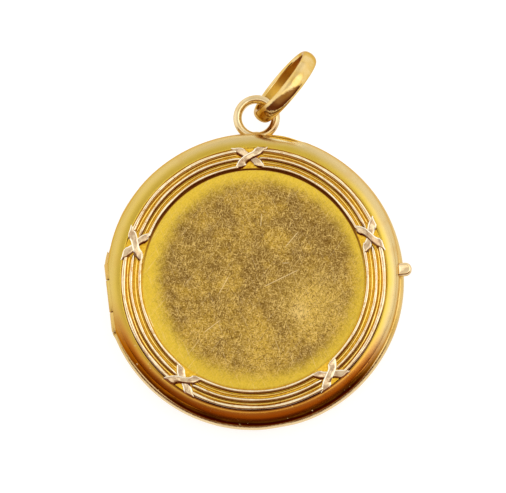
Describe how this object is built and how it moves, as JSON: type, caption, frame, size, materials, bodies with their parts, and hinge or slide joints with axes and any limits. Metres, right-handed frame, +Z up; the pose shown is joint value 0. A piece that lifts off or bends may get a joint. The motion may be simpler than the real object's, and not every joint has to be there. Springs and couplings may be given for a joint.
{
  "type": "photo locket",
  "caption": "Round hinged photo locket with a sunk panel, a reeded border with crossed ribbons, a wire loop and a round bail.",
  "frame": {"origin": "middle of the flat back, on the face that the closed locket rests on", "axes": "+Z up through the front cover, +Y towards the loop and bail, +X towards the thumb piece"},
  "size_m": [0.0287, 0.0356, 0.0078],
  "materials": {
    "lid_gold": "worn satin yellow gold",
    "back_gold": "worn polished yellow gold",
    "pin_gold": "drawn wire",
    "frame_gold": "polished",
    "bail_gold": "polished"
  },
  "bodies": {
    "back": {"back_cover": "back_gold", "hinge_pin": "pin_gold", "back_photo_frame": "frame_gold"},
    "lid": {"front_cover": "lid_gold", "front_photo_frame": "frame_gold"},
    "bail": {"bail": "bail_gold"}
  },
  "joints": [
    {"name": "lid_hinge", "type": "hinge", "parent": "back", "child": "lid", "pos_m": [-0.01318, -0.00162, 0.0028], "axis": [0.1219, -0.9925, 0], "range_deg": [0, 130]},
    {"name": "bail_swing", "type": "hinge", "parent": "back", "child": "bail", "pos_m": [0.00139, 0.01691, 0.00233], "axis": [0.7556, -0.5819, -0.3007], "range_deg": [-110, 30]}
  ]
}
